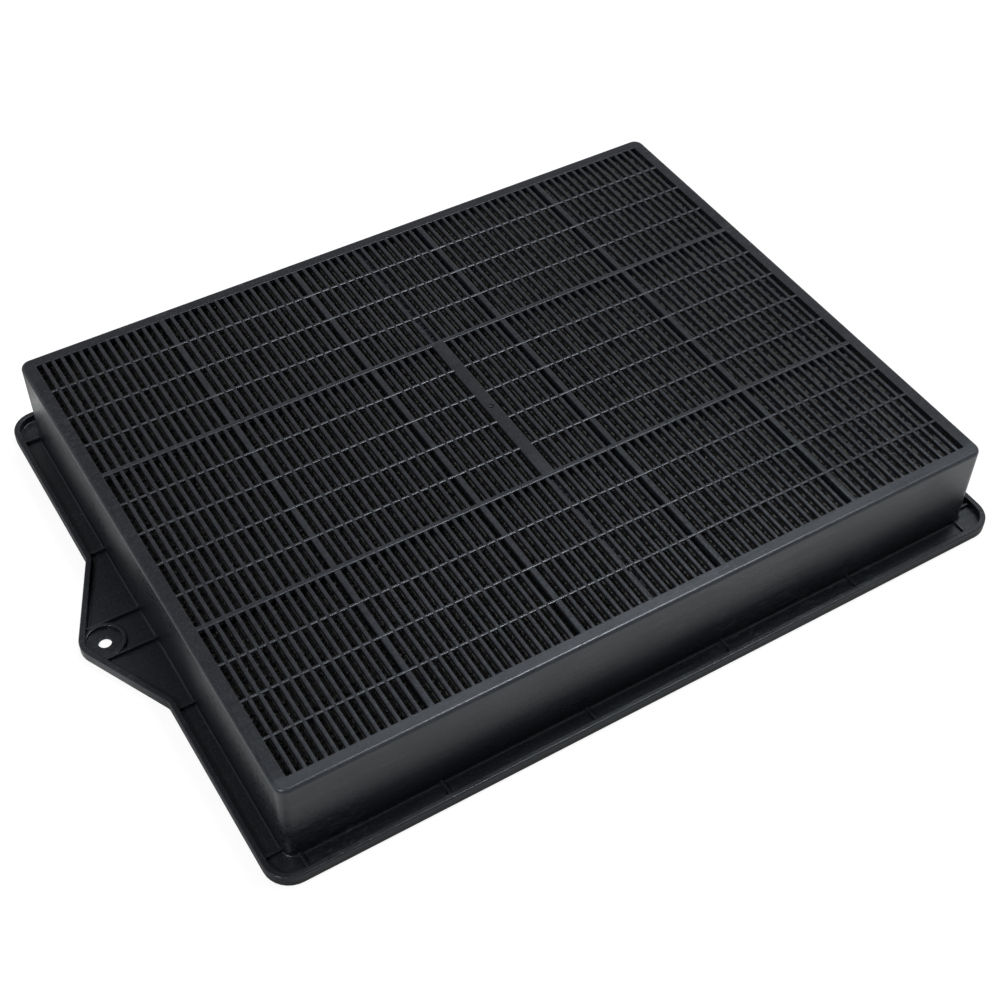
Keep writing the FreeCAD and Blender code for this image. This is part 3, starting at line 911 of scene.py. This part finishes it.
# %% Turning pebbles at random
def random_turns(count):
    """Rotation matrices from random unit quaternions (w, x, y, z), four normal numbers each."""
    q = rng.normal(size=(count, 4))
    q /= np.linalg.norm(q, axis=1, keepdims=True)
    w, x, y, z = q.T
    rows = [1 - 2 * (y * y + z * z), 2 * (x * y - w * z), 2 * (x * z + w * y),
            2 * (x * y + w * z), 1 - 2 * (x * x + z * z), 2 * (y * z - w * x),
            2 * (x * z - w * y), 2 * (y * z + w * x), 1 - 2 * (x * x + y * y)]
    return np.stack(rows, axis=1).reshape(count, 3, 3)


print("a turn is one 3 x 3 matrix from four random numbers, for each pebble")

# %% [markdown]
# The granules along the right wall of a compartment lie in the shadow of a wide slat, and the
# last slot would look empty. More light there would show everywhere else too, so light is
# painted on them instead: their tones are made paler.


# %% One layer of granules
GRAIN_RADIUS = 1.75
KEPT_IN = 0.55 * GRAIN_RADIUS
SHAKE, DENT, SMALLEST = 0.35, 0.78, 0.7
PAINTED_LIGHT_REACH, PAINTED_LIGHT_TONE = 3.2, 0.7


def granule_layer(span, low, high, pitch):
    """Pebbles on a grid over a compartment, each shaken sideways and set between two heights.

    A pebble's points are those of the ball times a dent for each point and a size for each
    axis, turned, moved to its place, and held inside the compartment. Tones are squares of
    even random numbers, so that most granules are dark.
    """
    x0, x1, y0, y1 = span
    nx, ny = int((x1 - x0) / pitch), int((y1 - y0) / pitch)
    grid_x, grid_y = np.meshgrid(np.linspace(x0 + KEPT_IN, x1 - KEPT_IN, nx),
                                 np.linspace(y0 + KEPT_IN, y1 - KEPT_IN, ny))
    centres = np.column_stack([grid_x.ravel(), grid_y.ravel(), np.zeros(nx * ny)])
    count = len(centres)
    centres[:, :2] += rng.uniform(-SHAKE, SHAKE, (count, 2)) * pitch
    centres[:, 0] = np.clip(centres[:, 0], x0 + KEPT_IN, x1 - KEPT_IN)
    centres[:, 1] = np.clip(centres[:, 1], y0 + KEPT_IN, y1 - KEPT_IN)
    centres[:, 2] = rng.uniform(low, high, count)
    shape = pebble_points * rng.uniform(DENT, 1.0, (count, corner_count, 1))
    shape = shape * (GRAIN_RADIUS * rng.uniform(SMALLEST, 1.0, (count, 1, 3)))
    placed = np.einsum("nij,npj->npi", random_turns(count), shape) + centres[:, None, :]
    placed[:, :, 0] = np.clip(placed[:, :, 0], x0, x1)
    placed[:, :, 1] = np.clip(placed[:, :, 1], y0, y1)
    faces = pebble_faces[None] + corner_count * np.arange(count)[:, None, None]
    tone = rng.uniform(0.0, 1.0, count) ** 2
    # Painted light: granules near the right wall, in a wide slat's shadow, get paler tones.
    tone = np.where(centres[:, 0] > x1 - PAINTED_LIGHT_REACH, PAINTED_LIGHT_TONE + (1 - PAINTED_LIGHT_TONE) * tone, tone)
    return placed.reshape(-1, 3), [faces.reshape(-1, 3)], np.repeat(tone, corner_count)


print(f"granules are {2 * GRAIN_RADIUS * SMALLEST:.2f} to {2 * GRAIN_RADIUS:.2f} mm across")

# %% Fill every compartment
BED_CLEARANCE, CORE_INSET, CORE_TONE = 0.3, 0.1, 0.4
CORE_BELOW, CORE_ABOVE = 2.2, 2.6
TOP_PITCH, TOP_DEPTH, TOP_DROP = 2.7, 1.5, 0.3
BOTTOM_PITCH, BOTTOM_DEPTH = 3.4, 1.0
wall_half = PARTITION / 2
draw_in = wall_half + BED_CLEARANCE
bed_low, bed_high = COVER_TOP + BED_CLEARANCE, GRILLE_UNDERSIDE - BED_CLEARANCE
core_low, core_high = bed_low + CORE_BELOW, bed_high - CORE_ABOVE
edges_x = [-inside_x - wall_half] + partition_lines + [inside_x + wall_half]
edges_y = [-inside_y - wall_half, *thick_lines, inside_y + wall_half]
granule_faces = 0
for row, (y0, y1) in enumerate(zip(edges_y, edges_y[1:]), start=1):
    for place, (x0, x1) in enumerate(zip(edges_x, edges_x[1:]), start=1):
        span = (x0 + draw_in, x1 - draw_in, y0 + draw_in, y1 - draw_in)
        upper = granule_layer(span, bed_high - GRAIN_RADIUS - TOP_DEPTH,
                              bed_high - GRAIN_RADIUS - TOP_DROP, TOP_PITCH)
        lower = granule_layer(span, bed_low + GRAIN_RADIUS,
                              bed_low + GRAIN_RADIUS + BOTTOM_DEPTH, BOTTOM_PITCH)
        left, right = span[0] + CORE_INSET, span[1] - CORE_INSET
        outline = np.array([[left, core_low], [right, core_low],
                            [right, core_high], [left, core_high]])
        core = prism_shell(outline, np.full(4, CORE_TONE), span[2] + CORE_INSET,
                           span[3] - CORE_INSET, 1)
        points, polygons, tones = join([core, upper, lower])
        fill = mesh_object(f"granule_fill_{row}_{place}", points, polygons, "tone", tones,
                           granules)
        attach(fill, "root")
        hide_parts(f"carbon_bed_{row}_{place}")
        granule_faces += len(polygons)
print("18 fills with", granule_faces, "faces in all")

# %% [markdown]
# ## Floor
# The photo has a plain white background with almost no shadow. A floor that is lit up until it
# is white would throw that light back on the object and wash it out. Here the floor is plain
# white paint to the light that falls on the object. To the camera and to mirror rays most of
# its white is its own and the rest is paint, so the background is white and still keeps the
# object's soft shadow. Close to the flange and behind the object the floor mirrors darker, as
# the ground there lies in the object's shade.

# %% Floor plane
FLOOR_REACH, FLOOR_LEVEL = 40.0, -0.0004
floor_corners = np.array([(-1, -1), (1, -1), (1, 1), (-1, 1)]) * FLOOR_REACH
floor_mesh = bpy.data.meshes.new("floor")
floor_mesh.from_pydata(np.column_stack([floor_corners, np.full(4, FLOOR_LEVEL)]).tolist(), [],
                       [(0, 1, 2, 3)])
floor = bpy.data.objects.new("floor", floor_mesh)
bpy.context.scene.collection.objects.link(floor)
print("floor:", 2 * FLOOR_REACH, "m wide")


# %% How open the floor is
def distance_beyond(tree, spot, middle, reach):
    """Distance from a rectangle: the length of max(|spot - middle| - reach, 0)."""
    beyond = spot
    for operation, value in (("SUBTRACT", middle), ("ABSOLUTE", None), ("SUBTRACT", reach),
                             ("MAXIMUM", (0.0, 0.0, 0.0)), ("LENGTH", None)):
        step = tree.nodes.new("ShaderNodeVectorMath")
        step.operation = operation
        tree.links.new(beyond, step.inputs[0])
        if value:
            step.inputs[1].default_value = value
        beyond = step.outputs["Value" if operation == "LENGTH" else "Vector"]
    return beyond


SHADE_WIDTH, SHADE_LEAST = 0.014, 0.30
BEHIND_START, BEHIND_FULL, BEHIND_LEAST = 0.160, 0.195, 0.42
floor_paint, tree, shader = new_material("white_floor")
spot = tree.nodes.new("ShaderNodeTexCoord").outputs["Object"]
beyond = distance_beyond(tree, spot, (SHIFT_X * MM, 0.0, 0.0), (half_x * MM, half_y * MM, 1.0))
near = remap(tree, beyond, 0.0, SHADE_WIDTH, SHADE_LEAST, 1.0)
behind = remap(tree, split(tree, spot)["Y"], BEHIND_START, BEHIND_FULL, 1.0, BEHIND_LEAST)
open_floor = combine(tree, "MULTIPLY", near, behind)
print("the floor is shaded for", SHADE_WIDTH, "m round the flange")

# %% Floor material
PAINT, PAINT_ROUGHNESS = (0.8, 0.8, 0.8, 1.0), 0.9
OWN_WHITE, MIRRORED_WHITE = 0.82, 0.18
THIN_PAINT, MIRRORED_PAINT = (0.28, 0.28, 0.28, 1.0), 0.72
shader.inputs["Base Color"].default_value = PAINT
shader.inputs["Roughness"].default_value = PAINT_ROUGHNESS
path = tree.nodes.new("ShaderNodeLightPath")
camera_ray = path.outputs["Is Camera Ray"]
seen = combine(tree, "MAXIMUM", camera_ray, path.outputs["Is Glossy Ray"])
seen = combine(tree, "MAXIMUM", seen, path.outputs["Is Transmission Ray"])
own_light = combine(tree, "ADD", combine(tree, "MULTIPLY", open_floor, MIRRORED_WHITE),
                    combine(tree, "MULTIPLY", camera_ray, OWN_WHITE))
glow = tree.nodes.new("ShaderNodeEmission")
tree.links.new(combine(tree, "MINIMUM", own_light, OWN_WHITE), glow.inputs["Strength"])
thin_paint = tree.nodes.new("ShaderNodeBsdfDiffuse")
mirrored_paint = combine(tree, "MULTIPLY", open_floor, MIRRORED_PAINT)
tree.links.new(blend_colours(tree, camera_ray, mirrored_paint, THIN_PAINT),
               thin_paint.inputs["Color"])
background = tree.nodes.new("ShaderNodeAddShader")
tree.links.new(glow.outputs["Emission"], background.inputs[0])
tree.links.new(thin_paint.outputs["BSDF"], background.inputs[1])
pick = tree.nodes.new("ShaderNodeMixShader")
tree.links.new(seen, pick.inputs["Fac"])
tree.links.new(shader.outputs["BSDF"], pick.inputs[1])
tree.links.new(background.outputs["Shader"], pick.inputs[2])
tree.links.new(pick.outputs["Shader"], tree.nodes["Material Output"].inputs["Surface"])
floor_mesh.materials.append(floor_paint)
print("the camera sees", OWN_WHITE, "of the floor's own white and paint of", THIN_PAINT[0])

# %% [markdown]
# ## Surroundings
# Black plastic shows little of its own colour. Nearly all that the photo shows on it is the
# room mirrored in its gloss: tops and walls are grey because something pale hangs over them. A
# plain grey world would make every side equally grey. So the sky is a white sweep that is
# bright at the horizon and dimmer overhead, the room is darker behind the camera, and a soft
# halo surrounds the lamp.

# %% World
world = bpy.data.worlds.new("studio")
bpy.context.scene.world = world
world.use_nodes = True
tree = world.node_tree
direction = tree.nodes.new("ShaderNodeTexCoord").outputs["Generated"]


def facing(tree, direction, aim):
    """Cosine of the angle between each direction of the sky and an aim."""
    dot = tree.nodes.new("ShaderNodeVectorMath")
    dot.operation = "DOT_PRODUCT"
    dot.inputs[1].default_value = aim
    tree.links.new(direction, dot.inputs[0])
    return dot.outputs["Value"]


TOWARD_CAMERA, TOWARD_LAMP = (-0.42, -0.80, 0.43), (0.37, 0.13, 0.92)
SWEEP_LOW, SWEEP_HIGH, SWEEP_BRIGHT, SWEEP_DIM = 0.05, 0.50, 1.05, 0.36
ROOM_START, ROOM_FULL, ROOM_DARK = 0.2, 0.7, 0.42
HALO_TIGHTNESS, HALO_LEVEL = 32.0, 0.8
sweep = remap(tree, split(tree, direction)["Z"], SWEEP_LOW, SWEEP_HIGH, SWEEP_BRIGHT, SWEEP_DIM)
room = remap(tree, facing(tree, direction, TOWARD_CAMERA), ROOM_START, ROOM_FULL, 1.0, ROOM_DARK)
halo = combine(tree, "MAXIMUM", facing(tree, direction, TOWARD_LAMP), 0.0)
halo = combine(tree, "POWER", halo, HALO_TIGHTNESS)
halo = combine(tree, "MULTIPLY", halo, HALO_LEVEL)
studio_light = combine(tree, "ADD", combine(tree, "MULTIPLY", sweep, room), halo)
tree.links.new(studio_light, tree.nodes["Background"].inputs["Color"])
print("sky from", SWEEP_BRIGHT, "at the horizon to", SWEEP_DIM, "overhead")

# %% [markdown]
# ## Lamps
# The bright lines on the thin bars come from one large lamp above, to the right and behind: it
# is mirrored just where their crowned tops face it. A sun lamp would make them hair-thin. A
# round area lamp has the width that the lines in the photo need, and a smaller one on the left
# lights the left wall and makes the bright spot on the front corner.


# %% Lights
def soft_light(name, place, target, size, power):
    """A round area lamp of some width in metres that faces its target."""
    light = bpy.data.lights.new(name, "AREA")
    light.shape = "DISK"
    light.size = size
    light.energy = power
    lamp = bpy.data.objects.new(name, light)
    lamp.location = place
    lamp.rotation_euler = (Vector(target) - Vector(place)).to_track_quat("-Z", "Y").to_euler()
    bpy.context.scene.collection.objects.link(lamp)
    print(f"{name}: {size} m wide, {power} W")


soft_light("overhead", (0.88, 0.31, 2.32), (0.0, 0.0, 0.0), size=0.66, power=36.0)
soft_light("left_fill", (-1.44, -0.53, 1.85), (0.0, 0.0, 0.0), size=0.32, power=20.0)

# %% [markdown]
# ## Camera
# The photo looks down on the front left corner with a moderate lens. Framing by eye gets close
# but never lines the slots up. The camera's place, aim and focal length were worked out from
# the perspective of the grille, whose slots form a regular grid on a plane.

# %% Camera
CAMERA_PLACE, CAMERA_TURN = (-0.2956, -0.49765, 0.62565), (42.264, -0.741, -31.364)
FOCAL_LENGTH, SENSOR_WIDTH = 59.13, 36.0
camera_data = bpy.data.cameras.new("camera")
camera_data.lens = FOCAL_LENGTH
camera_data.sensor_width = SENSOR_WIDTH
camera = bpy.data.objects.new("camera", camera_data)
camera.location = CAMERA_PLACE
camera.rotation_euler = [math.radians(angle) for angle in CAMERA_TURN]
bpy.context.scene.collection.objects.link(camera)
bpy.context.scene.camera = camera
bpy.context.scene.view_settings.view_transform = "Standard"
print("camera at", CAMERA_PLACE, "with a lens of", FOCAL_LENGTH, "mm")
